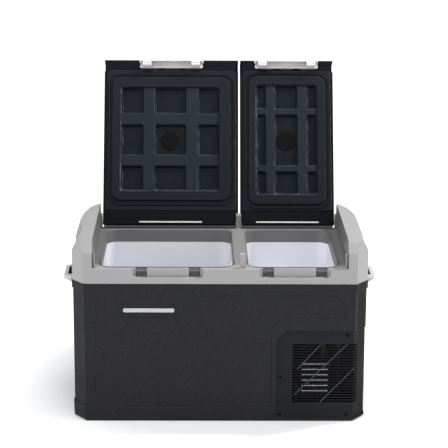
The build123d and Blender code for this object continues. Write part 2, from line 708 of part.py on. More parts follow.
# ------------------------------------------------------- condenser and fan
FAN_X = (299.0, 324.0)
FAN_Y = -46.0
FAN_Z = 102.0
FAN_HALF = 60.0
FAN_HOLE = 52.5             # mounting hole offset from the fan axis
BLADES = 7
BLADE_TWIST = 0.55          # radians from the blade's inboard edge to its outboard edge
BLADE_CORNERS = ((17.5, -0.05), (53.0, -0.016), (53.0, 0.016), (17.5, 0.05))  # radius, angle

CONDENSER_Y = (FAN_Y - 66, FAN_Y + 66)
CONDENSER_FINS = 22
TUBE_X = 279
TUBE_Z = [48, 68, 88, 108, 128, 148, 168]


def condenser_fins():
    front, back = CONDENSER_Y
    fins = []
    for k in range(CONDENSER_FINS):
        y = front + k * (back - front) / (CONDENSER_FINS - 1)
        plate = box(266, 292, y - 0.5, y + 0.5, 38, 178)
        fins.append(plate - (Part() + [rod_y(front - 6, back + 6, TUBE_X, z, 3.3)
                                       for z in TUBE_Z]))
    return fins


def condenser_tube():
    """Straight runs joined by upright links, alternately at the back and the front."""
    front, back = CONDENSER_Y[0] - 4, CONDENSER_Y[1] + 4
    runs = []
    for k, z in enumerate(TUBE_Z):
        runs.append(rod_y(front, back, TUBE_X, z, 3.2))
        if k:
            runs.append(rod_z(TUBE_Z[k - 1], z, TUBE_X, back if k % 2 else front, 3.2))
    return joined(runs)


def fan_rod(x0, x1, r):
    return rod_x(x0, x1, FAN_Y, FAN_Z, r)


def fan_frame():
    x0, x1 = FAN_X
    frame = box(x0, x1, FAN_Y - FAN_HALF, FAN_Y + FAN_HALF, FAN_Z - FAN_HALF, FAN_Z + FAN_HALF)
    frame = rounded(frame, 7.0, lambda e: abs(e.center().Y - FAN_Y) > FAN_HALF - 1
                    and abs(e.center().Z - FAN_Z) > FAN_HALF - 1)
    frame -= fan_rod(x0 - 1, x1 + 1, 56)
    frame += fan_rod(x1 - 3, x1, 20)
    # four struts, with a mounting hole beyond each
    for k in range(4):
        a = math.radians(45 + 90 * k)
        cos, sin = math.cos(a), math.sin(a)
        strut = [(FAN_Y + r * cos - w * sin, FAN_Z + r * sin + w * cos)
                 for r, w in ((18, 2), (57.5, 2), (57.5, -2), (18, -2))]
        frame += prism_x(strut, x1 - 3, x1)
        frame -= rod_x(x0 - 1, x1 + 1, FAN_Y + math.copysign(FAN_HOLE, cos),
                       FAN_Z + math.copysign(FAN_HOLE, sin), 2.2)
    return frame + fan_rod(x1 - 12, x1 - 2, 3.0)


def fan_impeller():
    x0, x1 = FAN_X
    impeller = fan_rod(x0 + 2, x1 - 5, 19) - fan_rod(x1 - 14, x1, 3.06)
    for k in range(BLADES):
        rings = []
        for x, turn in ((x0 + 4, 0.0), (x1 - 7, BLADE_TWIST)):
            start = 2 * math.pi * k / BLADES + turn
            rings.append([(x, FAN_Y + r * math.cos(start + w), FAN_Z + r * math.sin(start + w))
                          for r, w in BLADE_CORNERS])
        impeller += ruled_loft(*rings)
    return impeller


save("condenser_fins", condenser_fins())
save("condenser_tube", condenser_tube())
save("fan_frame", fan_frame())
save("fan_impeller", fan_impeller())

# ------------------------------------------------- pipework and electrics
DRIVER_FINS = 6             # cooling fins of the motor driver, at every second slot
DRIVER_FIN_LOW = 70.6
DISCHARGE_PATH = [(COMP_X - 20, COMP_Y - 59.2, 104), (COMP_X - 20, 10, 104),
                  (COMP_X - 20, 10, 190), (COMP_X + 30, 10, 190), (COMP_X + 30, -30, 190)]
SUCTION_PATH = [(COMP_X - 59.5, COMP_Y, 110), (140, COMP_Y, 110), (140, COMP_Y, 196),
                (140, 20, 196), (140, 20, 206)]
LOOM_PATH = [(220, -149.9, 90), (220, -120, 90), (220, -120, 24), (180, -120, 24),
             (180, 34, 24)]


def filter_drier():
    drier = rod_z(70, 140, 150, -40, 9)
    drier += rod_z(62, 70, 150, -40, 4) + rod_z(140, 148, 150, -40, 4)
    return drier


def driver_box():
    """Motor driver: a finned aluminium cover behind the front grille."""
    driver = box(188, 252, -188, -158, 62, 140)
    for k in range(DRIVER_FINS):
        z = DRIVER_FIN_LOW + k * 2 * SLOT_PITCH
        driver += box(190, 250, -201, -187, z, z + 1.8)
    return driver + box(196, 244, -158, -150, 74, 128)


def power_inlet():
    """Rear plate with a round socket and a square one."""
    inlet = box(146, 226, 210.95, 213.2, 56, 100)
    inlet += box(150.4, 221.6, 190, 211.2, 60.4, 95.6)
    inlet -= rod_y(196, 215, 168, 78, 9) + box(188, 214, 196, 215, 68, 88)
    inlet += (rod_y(194, 206, 168, 78, 2.0) + box(194, 196, 194, 206, 74, 82)
              + box(204, 206, 194, 206, 74, 82))
    return inlet


save("filter_drier", filter_drier())
save("discharge_line", tube(DISCHARGE_PATH, 3.0, 6.0))
save("suction_line", tube(SUCTION_PATH, 4.0, 8.0))
save("driver_box", driver_box())
save("wiring_loom", tube(LOOM_PATH, 3.2, 10.0))
save("power_inlet", power_inlet())

# ------------------------------------------------------------ lids
FRONT, BACK = -212.0, 212.0     # lid edges when closed
BASE, TOP = 365.5, 424.0        # underside and top when closed
LID_SKIN = 3.5
LID_OPEN = 114.0                # degrees from closed to fully open
PANEL_FRONT = FRONT + 27.0      # back of the front beam of the lid's inner side
PANEL_BACK = BACK - 37.0        # front of its rear beam
HINGE_CUT_Y = 177.0             # front of the cut round the hinge post

LATCH_HALF = 78.5               # half width of a latch bar
LATCH_Y = -200.0                # latch pivot, lid closed
LATCH_Z = 382.0
LATCH_PIN_R = 2.0
HOOK_HALF = 11.0
SPRING_X = 24                   # springs either side of the latch's middle


@dataclass
class Lid:
    """One lid. X is measured from its middle, and Y from its front edge."""
    side: str
    inner: int          # X direction of the end that meets the other lid
    plug: tuple         # half width, front, back
    bead: tuple         # half width, front, back
    rim: tuple          # left, right, front, back
    columns: list       # left and right edges of the pockets
    rows: list          # front and back edges of the pockets

    def __post_init__(self):
        self.x0, self.x1 = LID_X[self.side]
        self.middle = (self.x0 + self.x1) / 2
        self.x_in, self.x_out = (self.x1, self.x0) if self.inner > 0 else (self.x0, self.x1)
        near = 0 if self.inner > 0 else 1
        guide_cut = GUIDE_POST_X[near] - self.inner * 1.3
        rib_cut = -self.inner * (RIB_X - 3.0)
        self.hinge_cut = HINGE_POST_X[near] - self.inner * 1.4
        # each end, its cut-back at the front, and the direction from the cut to the end
        self.front_cuts = [(self.x_in, guide_cut, self.inner),
                           (self.x_out, rib_cut, -self.inner)]
        self.pockets = [(self.middle + left, self.middle + right, FRONT + front, FRONT + back)
                        for left, right in self.columns for front, back in self.rows]

    def pad(self, outline, grow, z0, z1, corner):
        """Rounded prism on a (half width, front, back) outline, grown all round."""
        half, front, back = outline
        return round_prism(self.middle - half - grow, self.middle + half + grow,
                           FRONT + front - grow, FRONT + back + grow, z0, z1, corner)


LIDS = [
    Lid("left", 1, (148.5, 45.0, 362.5), (159.5, 36.5, 374.5), (-126.3, 120.8, 71.2, 338.7),
        [(-124.8, -69.1), (-42.0, 37.8), (66.3, 119.3)],
        [(72.7, 140.4), (167.3, 247.5), (273.1, 337.2)]),
    Lid("right", -1, (96.5, 41.0, 372.0), (107.0, 33.0, 382.5), (-77.7, 76.1, 64.2, 347.5),
        [(-76.2, -51.9), (-31.7, 27.1), (48.9, 74.6)],
        [(65.7, 127.2), (140.4, 274.2), (286.9, 346.0)]),
]


def swing(shape):
    """Turns a closed lid piece about the hinge axis to the open rest position."""
    move = Pos(0, HINGE_Y, HINGE_Z) * Rot(-LID_OPEN, 0, 0) * Pos(0, -HINGE_Y, -HINGE_Z)
    if isinstance(shape, list):
        return [move * s for s in shape]
    return move * shape


def pocket(x0, x1, y0, y1, z0, z1, r, draft):
    """A pocket whose walls lean in by `draft` between its mouth and its floor."""
    x, y, wide, deep = (x0 + x1) / 2, (y0 + y1) / 2, x1 - x0, y1 - y0
    mouth = Pos(x, y, z0) * RectangleRounded(wide, deep, r)
    narrow = RectangleRounded(wide - 2 * draft, deep - 2 * draft, max(r - draft, 2.0))
    return loft([mouth, Pos(x, y, z1) * narrow])


def lid_blank(lid):
    """The lid's outer form with its edges eased, hollowed from below."""
    def upright(e):
        return abs(e.bounding_box().size.Z - (TOP - BASE)) < 0.01

    def along_back(e):
        return e.center().Y > BACK - 0.01 and e.bounding_box().size.X > 100

    x0, x1 = lid.x0, lid.x1
    skin = box(x0, x1, FRONT, BACK, BASE, TOP)
    skin = rounded(skin, 7.0, lambda e: upright(e) and e.center().Y > 0)
    skin = rounded(skin, 1.5, lambda e: upright(e) and e.center().Y < 0)
    skin = rounded(skin, 14.0, lambda e: e.center().Z > TOP - 0.01 and along_back(e))
    skin = bevelled(skin, 6.0, lambda e: e.center().Z > TOP - 0.01 and e.center().Y < BACK - 20)
    skin = rounded(skin, 3.0, lambda e: e.center().Z < BASE + 0.01 and along_back(e))
    # shallow panel in the top, the inner hollow and its opening below
    skin -= box(x0 + 34, x1 - 34, FRONT + 42, BACK - 50, TOP - 1.6, TOP + 1)
    skin -= box(x0 + LID_SKIN, x1 - LID_SKIN, FRONT + LID_SKIN, BACK - LID_SKIN,
                BASE + 6.5, TOP - 5.2)
    skin -= box(x0 + 5.5, x1 - 5.5, PANEL_FRONT, PANEL_BACK, BASE - 1, BASE + 7)
    return skin


def lid_shell(lid):
    x0, x1, x_out, middle = lid.x0, lid.x1, lid.x_out, lid.middle
    inner, cut = lid.inner, lid.hinge_cut
    skin = lid_blank(lid)
    # seat for the latch
    skin += box(middle - 84, middle + 84, FRONT + 3.5, FRONT + 26.5, BASE, BASE + 30.0)
    skin -= box(middle - 80.5, middle + 80.5, FRONT - 1, FRONT + 23.5, BASE - 1, BASE + 26.5)
    skin -= rod_x(middle - 90, middle + 90, LATCH_Y, LATCH_Z, LATCH_PIN_R + 0.03)
    # behind the front wall both ends are cut back to clear the guide post and rib
    for end, front_cut, away in lid.front_cuts:
        skin += box(front_cut - away * 3.4, end - away * 0.6, FRONT + 1.5, FRONT + 33.4,
                    BASE + 0.01, TOP - 7.0)
        skin -= box(front_cut, end + away * 1.0, FRONT + 5.0, FRONT + 30.0, BASE - 1, 402.0)
    # wall round the cut-back at the hinge post
    skin += box(cut - inner * 4.0, lid.x_in - inner * 0.6, 173.0, BACK - 1.5, BASE + 0.01, 408.0)
    # pin bosses at both ends of the rear beam
    for span in ((cut - inner * 17.0, cut), (x_out + inner * 1.0, x_out + inner * 17.0)):
        skin += box(*span, HINGE_Y - 8, BACK - 1.5, BASE + 3.0, HINGE_Z + 9)
    # at the back the middle end is cut back round the hinge post
    skin -= box(cut, lid.x_in + inner * 1.0, HINGE_CUT_Y, BACK + 1.0, BASE - 1, 404.0)
    for span in ((cut - inner * 15.3, cut + inner), (x_out - inner, x_out + inner * 14.0)):
        skin -= rod_x(*span, HINGE_Y, HINGE_Z, PIN_R + 0.03)
    # seat for the inner panel, which stops short of the rear beam on the left lid only
    skin -= (box(x0 + 5.5, x1 - 5.5, PANEL_FRONT, PANEL_BACK, BASE - 1, BASE + 3.8)
             - box(x0, lid.x_in - inner * 0.01, 172.9, BACK, BASE - 2, BASE + 5))
    # groove that parts the rear beam from the inner panel
    skin -= box(x0 - 1, x1 + 1, PANEL_BACK + 1.2, PANEL_BACK + 3.0, BASE - 1, BASE + 1.8)
    # trim pocket along the back edge
    skin -= box(middle - 78.5, middle + 78.5, BACK - 9.5, BACK - 5.5, BASE - 1, BASE + 3)
    return Part() + max(skin.solids(), key=lambda s: s.volume)


def hinge_trim(lid):
    return box(lid.middle - 78, lid.middle + 78, BACK - 9.2, BACK - 5.8, BASE - 0.4, BASE + 2.9)


def hinge_pins(lid):
    """One pin into the shared post, stopping short of its middle, and one into the lug."""
    post_middle = sum(HINGE_POST_X) / 2
    spans = ((lid.hinge_cut - lid.inner * 14.8, post_middle - lid.inner * 0.4),
             (-lid.inner * 291.5, -lid.inner * 274.0))
    return [rod_x(*span, HINGE_Y, HINGE_Z, PIN_R) for span in spans]


def inner_panel(lid):
    """Flat plate, raised plug and a sunken waffle of pockets."""
    plate = box(lid.x0 + 6.0, lid.x1 - 6.0, PANEL_FRONT + 0.15, PANEL_BACK - 0.15,
                BASE + 0.5, BASE + 3.5)
    for end, front_cut, away in lid.front_cuts:
        plate -= box(front_cut - away * 3.7, end + away, FRONT, FRONT + 33.7, BASE, BASE + 5)
    plate -= box(lid.hinge_cut - lid.inner * 4.3, lid.x_in + lid.inner, 172.7, BACK,
                 BASE, BASE + 5)
    raised = lid.pad(lid.plug, 0, BASE - 4.0, BASE + 8.5, 24.0)
    raised = rounded(raised, 2.5, wholly_below(BASE - 3.99))
    # hollow out the back of the plug, leaving walls round the pockets
    half, front, back = lid.plug
    hollow = box(lid.middle - half + 4, lid.middle + half - 4,
                 FRONT + front + 4, FRONT + back - 4, BASE + 1.6, BASE + 10)
    for x0, x1, y0, y1 in lid.pockets:
        hollow -= box(x0 - 2.0, x1 + 2.0, y0 - 2.0, y1 + 2.0, BASE, BASE + 11)
    raised -= hollow
    left, right = lid.middle + lid.rim[0], lid.middle + lid.rim[1]
    near, far = FRONT + lid.rim[2], FRONT + lid.rim[3]
    raised -= pocket(left, right, near, far, BASE - 4.01, BASE - 1.0, 7.0, 1.2)
    for edges in lid.pockets:
        raised -= pocket(*edges, BASE - 1.2, BASE + 6.9, 6.0, 4.0)
    raised = rounded(raised, 0.9, lambda e: lies_at(e, BASE - 1.0, 0.02)
                     and left + 1.5 < e.center().X < right - 1.5
                     and near + 1.5 < e.center().Y < far - 1.5)
    plate -= lid.pad(lid.plug, -1.0, BASE, BASE + 5, 23.0)
    return plate + raised


def gasket(lid):
    """A low strip round the plug with a raised outer bead."""
    strip = lid.pad(lid.bead, 0, BASE - 1.35, BASE + 0.45, 31.0)
    strip = rounded(strip, 0.8, wholly_below(BASE - 1.34))
    strip -= lid.pad(lid.bead, -4.8, BASE - 3, BASE - 0.3, 26.5)
    strip -= lid.pad(lid.plug, 0.4, BASE - 4, BASE + 2, 24.4)
    return strip


def plug_disc(lid):
    """Round disc in the middle pocket."""
    x0, x1, y0, y1 = lid.pockets[4]
    disc = rod_z(BASE + 4.2, BASE + 6.85, (x0 + x1) / 2, (y0 + y1) / 2, 23.5)
    return rounded(disc, 1.2, wholly_below(BASE + 4.21))


def lid_foam(lid):
    return box(lid.x0 + 15, lid.x1 - 15, FRONT + 35, 172, BASE + 9.2, TOP - 6)


def latch(lid):
    """A pull bar on a pin, with a tongue and two hooks that drop into the collar."""
    left, right = lid.middle - LATCH_HALF, lid.middle + LATCH_HALF
    bar = box(left, right, FRONT + 1.0, FRONT + 20.5, BASE + 0.8, BASE + 21.5)
    bar = bevelled(bar, 1.6, middle_above(BASE + 21.4))
    bar -= box(left + 3, right - 3, FRONT + 5.0, FRONT + 22, BASE + 4.0, BASE + 11.0)
    tongue = prism_x([(FRONT + 1, 368), (FRONT + 3, 349), (FRONT + 7, 349), (FRONT + 7, 368)],
                     left, right)
    tongue &= prism_y([(left, BASE + 4), (left, 354), (left + 5, 348.5), (right - 5, 348.5),
                       (right, 354), (right, BASE + 4)], FRONT, FRONT + 8)
    body = bar + tongue
    for side in (-1, 1):
        x = lid.middle + side * HOOK_X
        body += box(x - HOOK_HALF, x + HOOK_HALF, FRONT + 6.9, FRONT + 17.0, 345.0, BASE + 5)
        body += prism_x([(FRONT + 16.9, 352.6), (FRONT + 20.0, 351.0), (FRONT + 20.0, 347.5),
                         (FRONT + 16.9, 345.2)], x - HOOK_HALF, x + HOOK_HALF)
        for k in (-1, 0, 1):
            body -= rod_z(343, 347, x + 6 * k, FRONT + 12.5, 1.2)
    # relief for the springs, then the pin bore
    for side in (-1, 1):
        x = lid.middle + side * SPRING_X
        body -= box(x - 9, x + 9, FRONT + 5.0, FRONT + 22, LATCH_Z - 6.5, BASE + 24)
    return body - rod_x(left - 1, right + 1, LATCH_Y, LATCH_Z, LATCH_PIN_R + 0.06)


def latch_pin(lid):
    return rod_x(lid.middle - 83, lid.middle + 83, LATCH_Y, LATCH_Z, LATCH_PIN_R)


def latch_springs(lid):
    """Two springs round the pin, each of five closed turns tied by a link."""
    springs = []
    for side in (-1, 1):
        x = lid.middle + side * SPRING_X
        turns = joined([Pos(x - 4 + 2.0 * k, LATCH_Y, LATCH_Z) * Rot(0, 90, 0) * Torus(3.4, 0.55)
                        for k in range(5)])
        springs.append(turns + rod_x(x - 4.4, x + 4.4, LATCH_Y, LATCH_Z + 3.4, 0.45))
    return springs


LID_PIECES = {
    "lid_{}_shell": lid_shell,
    "lid_{}_hinge_trim": hinge_trim,
    "hinge_pins_{}": hinge_pins,
    "lid_{}_inner_panel": inner_panel,
    "lid_{}_gasket": gasket,
    "lid_{}_plug": plug_disc,
    "lid_{}_foam": lid_foam,
    "latch_{}": latch,
    "latch_pin_{}": latch_pin,
    "latch_springs_{}": latch_springs,
}
for each_lid in LIDS:
    for piece_name, build in LID_PIECES.items():
        save(piece_name.format(each_lid.side), swing(build(each_lid)))
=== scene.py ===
# A cool box with a compressor. It stands on z = 0 with its front towards -Y, its right side
# towards +X and +Z up. Two lids, hinged at the back, stand open over two tub mouths set
# side by side in a collar. The machine bay and its vented cover are at the right.
# Lengths are in metres.
import json
import math

import bpy
from mathutils import Matrix, Vector

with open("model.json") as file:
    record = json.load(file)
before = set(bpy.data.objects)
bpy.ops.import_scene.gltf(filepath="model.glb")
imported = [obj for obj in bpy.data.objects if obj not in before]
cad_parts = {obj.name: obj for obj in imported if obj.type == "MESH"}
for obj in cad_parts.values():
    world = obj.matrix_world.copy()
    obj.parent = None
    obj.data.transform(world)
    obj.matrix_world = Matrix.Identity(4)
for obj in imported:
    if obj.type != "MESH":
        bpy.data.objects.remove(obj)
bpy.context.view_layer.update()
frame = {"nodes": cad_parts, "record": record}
nodes = frame["nodes"]
SLOTS = {part["node"]: part["material_slot"] for part in frame["record"]["subparts"]}

# Spans of texture values that are stretched over a full blend
MIDDLE = (0.3, 0.7)     # the usual range of a noise
CELLS = (0.0, 0.6)      # centre to wall of a Voronoi cell


# ------------------------------------------------------------------ node tools
class Net:
    """One material's node tree, with short calls for the nodes used here."""

    def __init__(self, name):
        self.material = bpy.data.materials.new(name)
        self.material.use_nodes = True
        self.tree = self.material.node_tree
        self.coord = self.node("ShaderNodeTexCoord").outputs["Object"]

    def fill(self, node, inputs):
        """Link or set each input; three-part colours get an alpha of 1."""
        for key, value in inputs.items():
            socket = node.inputs[key]
            if isinstance(value, bpy.types.NodeSocket):
                self.tree.links.new(value, socket)
            elif value is not None:
                socket.default_value = (*value, 1.0) if socket.type == "RGBA" else value

    def node(self, kind, inputs=None, **props):
        node = self.tree.nodes.new(kind)
        for key, value in props.items():
            setattr(node, key, value)
        self.fill(node, inputs or {})
        return node

    def finish(self, inputs):
        """Fill the surface shader and return the material."""
        self.fill(self.tree.nodes["Principled BSDF"], inputs)
        return self.material

    def noise(self, scale, detail=3.0, rough=0.55, stretch=None, distortion=0.0):
        place = self.coord
        if stretch:
            mapping = self.node("ShaderNodeMapping", {"Vector": place, "Scale": stretch})
            place = mapping.outputs["Vector"]
        return self.node("ShaderNodeTexNoise", {
            "Vector": place, "Scale": scale, "Detail": detail,
            "Roughness": rough, "Distortion": distortion}).outputs["Fac"]

    def voronoi(self, scale, feature="F1"):
        return self.node("ShaderNodeTexVoronoi", {"Vector": self.coord, "Scale": scale},
                         feature=feature).outputs["Distance"]

    def axes(self, vector=None):
        """X, Y and Z of a vector, by default of the point being shaded."""
        split = self.node("ShaderNodeSeparateXYZ", {"Vector": vector or self.coord})
        return [split.outputs[axis] for axis in "XYZ"]

    def dot(self, first, second):
        return self.node("ShaderNodeVectorMath", {0: first, 1: second},
                         operation="DOT_PRODUCT").outputs["Value"]

    def math(self, operation, *values, clamp=False):
        return self.node("ShaderNodeMath", dict(enumerate(values)),
                         operation=operation, use_clamp=clamp).outputs[0]

    def times(self, *values, clamp=False):
        """Product from left to right; only the last step is clamped."""
        head = values[0] if len(values) == 2 else self.times(*values[:-1])
        return self.math("MULTIPLY", head, values[-1], clamp=clamp)

    def weigh(self, first, first_share, second, second_share):
        return self.math("ADD", self.times(first, first_share),
                         self.times(second, second_share))

    def apart(self, first, second):
        return self.math("ABSOLUTE", self.math("SUBTRACT", first, second))

    def ramp(self, value, span, to=(0.0, 1.0)):
        """Carry the range span over to the range to, clamped at both ends."""
        return self.node("ShaderNodeMapRange", {
            "Value": value, "From Min": span[0], "From Max": span[1],
            "To Min": to[0], "To Max": to[1]}).outputs["Result"]

    def fade(self, value, span):
        return self.ramp(value, span, to=(1.0, 0.0))

    def mix(self, factor, first, second, blend="MIX"):
        return self.node("ShaderNodeMix", {"Factor": factor, "A": first, "B": second},
                         data_type="RGBA", blend_type=blend).outputs["Result"]

    def vary(self, value, low, high, span=MIDDLE):
        """Colour that runs from low to high as value crosses span."""
        return self.mix(self.ramp(value, span), low, high)

    def bump(self, height, distance, strength=1.0, normal=None):
        return self.node("ShaderNodeBump", {
            "Strength": strength, "Distance": distance,
            "Height": height, "Normal": normal}).outputs["Normal"]

    def rounded(self, radius):
        bevel = self.node("ShaderNodeBevel", {"Radius": radius}, samples=4)
        return bevel.outputs["Normal"]

    def edges(self, radius):
        """Rounded normal and a mask that is 1 along sharp edges."""
        normal = self.rounded(radius)
        true_normal = self.node("ShaderNodeNewGeometry").outputs["Normal"]
        return normal, self.ramp(self.dot(normal, true_normal), span=(0.995, 0.86))


def shade(colour, factor):
    return tuple(min(1.0, x * factor) for x in colour)


# ------------------------------------------------------------------ collar paint, with painted shadow and shade
# A pair is where a mask starts and ends along its axis
WELL_SIDE = (0.2928, 0.2934)        # distance from x = 0 of the well's side walls
WELL_FRONT = (-0.193, -0.160)
DIVIDER_EDGE = (0.0165, 0.0185)     # distance from the divider's middle
DIVIDER_TOP = (0.3625, 0.3635)
MOUTHS = ((-0.2755, 0.0305), (0.0655, 0.2710))      # left and right x of each tub mouth
DIVIDER_X = (MOUTHS[0][1] + MOUTHS[1][0]) / 2
MOUTH_Y, MOUTH_HALF_DEPTH, MOUTH_CORNER = -0.001, 0.187, 0.030

# Painted shadow lines round the tub mouths: distance outside the inset outline, and fade away
# from that
SHADOW_LINE_AT, SHADOW_LINE_WIDTH = 0.0307, (0.0022, 0.0042)
FRONT_SHADOW_LINE_AT, FRONT_SHADOW_LINE_WIDTH = 0.0345, (0.0040, 0.0060)
FRONT_SHADOW_LINE_END = (-0.1890, -0.1880)
SHADOW_LINE_BACKWARD = (-0.175, -0.090)     # y over which the painted shadow line weakens
SHADOW_LINE_BOTTOM = (0.3610, 0.3620)
HOOK_FRONT, HOOK_BACK = (-0.2044, -0.2038), (-0.1912, -0.1908)
HOOK_SIDE = (0.2850, 0.2855)
HOOK_BOTTOM, HOOK_TOP = (0.3330, 0.3336), (0.3618, 0.3626)


def well_mask(net):
    """1 inside the well the lids close into, 0 on the collar's outer faces and front deck."""
    x, y, z = net.axes()
    across = net.fade(net.math("ABSOLUTE", x), WELL_SIDE)
    well = net.times(across, net.ramp(y, WELL_FRONT), clamp=True)
    # the top of the divider stays nearly as light as the outer faces
    divider = net.times(net.ramp(net.apart(x, DIVIDER_X), DIVIDER_EDGE, to=(0.31, 0.0)),
                        net.ramp(z, DIVIDER_TOP))
    return net.times(well, net.math("SUBTRACT", 1.0, divider), clamp=True)


def mouth_distance(net, x, y, left, right):
    """Distance from a mouth's outline inset by its corner radius; negative inside."""
    over_x = net.math("SUBTRACT", net.apart(x, (left + right) / 2),
                      (right - left) / 2 - MOUTH_CORNER)
    over_y = net.math("SUBTRACT", net.apart(y, MOUTH_Y), MOUTH_HALF_DEPTH - MOUTH_CORNER)
    out_x, out_y = net.math("MAXIMUM", over_x, 0.0), net.math("MAXIMUM", over_y, 0.0)
    outside = net.math("SQRT", net.weigh(out_x, out_x, out_y, out_y))
    inside = net.math("MINIMUM", net.math("MAXIMUM", over_x, over_y), 0.0)
    return net.math("ADD", outside, inside)


def collar_paint(net, colour, base):
    """Darker well, a painted shadow line round each tub mouth and painted shade in the hook
    pockets.
    """
    colour = net.mix(well_mask(net), colour, shade(base, 0.47))
    x, y, z = net.axes()
    # painted shadow line round each tub mouth, weaker towards the back
    shadow_line = None
    for left, right in MOUTHS:
        far = mouth_distance(net, x, y, left, right)
        line = net.fade(net.apart(far, SHADOW_LINE_AT), SHADOW_LINE_WIDTH)
        front = net.times(net.fade(net.apart(far, FRONT_SHADOW_LINE_AT), FRONT_SHADOW_LINE_WIDTH),
                          net.fade(y, FRONT_SHADOW_LINE_END))
        line = net.math("MAXIMUM", line, front)
        shadow_line = line if shadow_line is None else net.math("MAXIMUM", shadow_line, line)
    shadow_line = net.times(shadow_line, net.ramp(y, SHADOW_LINE_BACKWARD, to=(0.92, 0.25)), net.ramp(z, SHADOW_LINE_BOTTOM))
    colour = net.mix(shadow_line, colour, shade(base, 0.10))
    # painted shade inside the latch hook pockets
    hook_shade = net.times(net.ramp(y, HOOK_FRONT), net.fade(y, HOOK_BACK),
                     net.fade(net.math("ABSOLUTE", x), HOOK_SIDE),
                     net.fade(z, HOOK_TOP), net.ramp(z, HOOK_BOTTOM))
    strength = 0.52
    return net.mix(net.times(hook_shade, strength), colour, shade(base, 0.12))


# ------------------------------------------------------------------ lid paint, with painted shade in the pockets
SWING = math.radians(114.0)         # how far the lids are open
HINGE_Z = 0.3745
LID_AXIS = Vector((0.0, 0.207, HINGE_Z))
LID_FACE = Vector((0.0, math.sin(SWING), math.cos(SWING)))      # the closed lid's +Z
LID_UP = (0.0, 0.4067, 0.9135)      # from the hinge to the free edge of the open lid
LID_MATRIX = nodes["lid_left_inner_panel"].matrix_world.copy()

# Heights in the closed lid
RIB_START, RIB_END = (0.3636, 0.3642), (0.3650, 0.3656)
POCKET = (0.3668, 0.3716)


def lid_depth(net):
    """Height in the closed lid of the point being shaded: larger is deeper in a pocket."""
    face = LID_MATRIX.to_3x3().transposed() @ LID_FACE
    offset = HINGE_Z + (LID_MATRIX.translation - LID_AXIS).dot(LID_FACE)
    return net.math("ADD", net.dot(net.coord, face), offset)


def lid_pocket_shade(net, colour, base):
    """Painted shade deep in the pockets, and darker off the one band of heights of the ribs.
    """
    depth = lid_depth(net)
    ribs = net.times(net.ramp(depth, RIB_START), net.fade(depth, RIB_END))
    flat = net.vary(net.noise(scale=45.0, rough=0.6), shade(base, 0.60), shade(base, 0.72))
    flat_share = 0.85
    colour = net.mix(ribs, net.mix(flat_share, colour, flat), colour)
    pocket_shade = net.vary(net.noise(scale=60.0, rough=0.6), shade(base, 0.44), shade(base, 0.62))
    return net.mix(net.ramp(depth, POCKET), colour, pocket_shade)


# ------------------------------------------------------------------ body and vent paint, with painted shade and highlights
BLACK = (0.0008, 0.0008, 0.0010)
SLOT_BLACK = (0.0006, 0.0006, 0.0008)
BRACE_HIGHLIGHT = (0.052, 0.054, 0.060)

BAY_LEFT, BAY_RIGHT = (0.1200, 0.1205), (0.3335, 0.3340)
BAY_FRONT, BAY_BACK = (-0.2062, -0.2058), (0.2040, 0.2044)
BAY_BOTTOM = (0.0, 0.006)

# Two ends (x, z) of each diagonal brace
BRACES = (((0.171, 0.063), (0.293, 0.1862)), ((0.232, 0.047), (0.312, 0.131)),
          ((0.179, 0.126), (0.232, 0.1862)))
BRACE_EDGE = (0.0007, 0.0011)       # distance from the brace's middle line
BRACE_END = 0.001                   # softness of its two ends
BRACE_FRONT = (-0.2064, -0.2070)
SLATS_LEFT, SLATS_RIGHT = (0.1665, 0.1675), (0.3165, 0.3175)
SLATS_BOTTOM, SLATS_TOP = (0.0465, 0.0475), (0.1860, 0.1870)
SLOT_FRONT, SLOT_LEFT = (-0.2090, -0.2084), (0.1600, 0.1605)


def bay_shade_paint(net, colour, base):
    """Painted shade: the inside of the cabinet wall round the machine bay is painted black.
    """
    x, y, z = net.axes()
    bay_shade = net.times(net.ramp(x, BAY_LEFT), net.fade(x, BAY_RIGHT), net.ramp(y, BAY_FRONT),
                    net.fade(y, BAY_BACK), net.ramp(z, BAY_BOTTOM))
    return net.mix(bay_shade, colour, BLACK)


def brace_mask(net, x, z, start, end):
    run = math.dist(start, end)
    along_x, along_z = ((b - a) / run for a, b in zip(start, end))
    from_x = net.math("SUBTRACT", x, start[0])
    from_z = net.math("SUBTRACT", z, start[1])
    off = net.apart(net.times(from_x, along_z), net.times(from_z, along_x))
    along = net.weigh(from_x, along_x, from_z, along_z)
    return net.times(net.fade(off, BRACE_EDGE), net.ramp(along, (-BRACE_END, BRACE_END)),
                     net.fade(along, (run - BRACE_END, run + BRACE_END)))


def vent_paint(net, colour, base):
    """Thin diagonal braces with a painted highlight, paler than the cover, over dark slats
    and slot walls painted black as shade.
    """
    x, y, z = net.axes()
    brace_highlights = None
    for start, end in BRACES:
        brace = brace_mask(net, x, z, start, end)
        brace_highlights = brace if brace_highlights is None else net.math("MAXIMUM", brace_highlights, brace)
    front = net.ramp(y, BRACE_FRONT)
    # the thin slats are blacker than the rim round them
    slats = net.times(net.ramp(x, SLATS_LEFT, to=(0.0, 0.40)), net.ramp(z, SLATS_BOTTOM),
                      net.fade(x, SLATS_RIGHT), net.fade(z, SLATS_TOP))
    colour = net.mix(slats, colour, BLACK)
    # and the walls of the slots behind the front face are painted black as shade
    slot_shade = net.times(net.ramp(y, SLOT_FRONT), net.ramp(x, SLOT_LEFT))
    colour = net.mix(slot_shade, colour, SLOT_BLACK)
    # painted highlight on the front of the braces
    return net.mix(net.times(brace_highlights, front), colour, BRACE_HIGHLIGHT)


